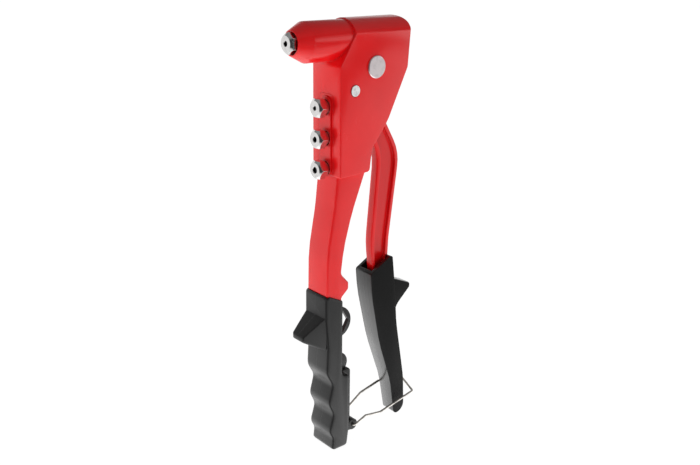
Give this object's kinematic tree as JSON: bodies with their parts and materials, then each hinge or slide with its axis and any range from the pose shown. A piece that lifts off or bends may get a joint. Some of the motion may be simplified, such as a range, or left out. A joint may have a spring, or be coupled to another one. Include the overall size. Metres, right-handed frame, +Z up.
{
  "type": "hand riveter",
  "caption": "Plier-type hand riveter: red cast head and handle, swinging lever with black grip, hexagon nosepieces with spares, pulling jaws inside and a wire bail that latches the handles.",
  "frame": {"origin": "middle of the whole tool's box at its foot, with the bottom of the front grip at Z 0", "axes": "+X the way the nose points, +Y to the tool's left side, +Z up along the handles towards the head"},
  "size_m": [0.0984, 0.0274, 0.2616],
  "materials": {
    "red_paint": "glossy red paint on a casting",
    "red_lever_paint": "glossy red paint on a flat lever",
    "black_grip": "satin black moulding",
    "bright_steel": "bright plated steel",
    "tool_steel": "plain turned steel",
    "black_steel": "black oxide finish",
    "wire_steel": "plain drawn wire"
  },
  "bodies": {
    "frame": {"body_casting": "red_paint", "fitted_nosepiece": "bright_steel", "spare_nosepiece_top": "bright_steel", "spare_nosepiece_middle": "bright_steel", "spare_nosepiece_bottom": "bright_steel", "pivot_rivet": "bright_steel", "stop_pin": "bright_steel", "rear_plug": "tool_steel", "front_grip": "black_grip", "spanner": "black_steel"},
    "lever": {"lever": "red_lever_paint", "lever_grip": "black_grip"},
    "draw": {"draw_rod": "tool_steel", "lock_nut": "tool_steel", "jaw_case": "tool_steel", "jaw_spring": "wire_steel"},
    "upper_jaw": {"jaw_upper": "tool_steel"},
    "lower_jaw": {"jaw_lower": "tool_steel"},
    "pusher": {"jaw_pusher": "tool_steel"},
    "bail": {"latch_bail": "wire_steel"}
  },
  "joints": [
    {"name": "lever_hinge", "type": "hinge", "parent": "frame", "child": "lever", "pos_m": [-0.0036, 0, 0.235], "axis": [0, 1, 0], "range_deg": [-5.3, 14.8]},
    {"name": "draw_slide", "type": "slide", "parent": "frame", "child": "draw", "axis": [1, 0, 0], "range_m": [-0.0014, 0.0039]},
    {"name": "bail_hinge", "type": "hinge", "parent": "frame", "child": "bail", "pos_m": [0.0043, 0, 0.0097], "axis": [0, 1, 0], "range_deg": [-126, 45.5]},
    {"name": "upper_jaw_slide", "type": "slide", "parent": "draw", "child": "upper_jaw", "axis": [-0.9653, 0, 0.2612], "range_m": [0, 0.0015]},
    {"name": "lower_jaw_slide", "type": "slide", "parent": "draw", "child": "lower_jaw", "axis": [-0.9653, 0, -0.2612], "range_m": [0, 0.0015]},
    {"name": "pusher_slide", "type": "slide", "parent": "draw", "child": "pusher", "axis": [-1, 0, 0], "range_m": [0, 0.0015], "deforming": ["jaw_spring"]}
  ],
  "couplings": [
    {"joint": "draw_slide", "follows": "lever_hinge", "m_per_rad": 0.0147},
    {"joint": "bail_hinge", "follows": "lever_hinge", "ratio": -8.5},
    {"joint": "lower_jaw_slide", "follows": "upper_jaw_slide", "ratio": 1},
    {"joint": "pusher_slide", "follows": "upper_jaw_slide", "ratio": 0.96529}
  ]
}
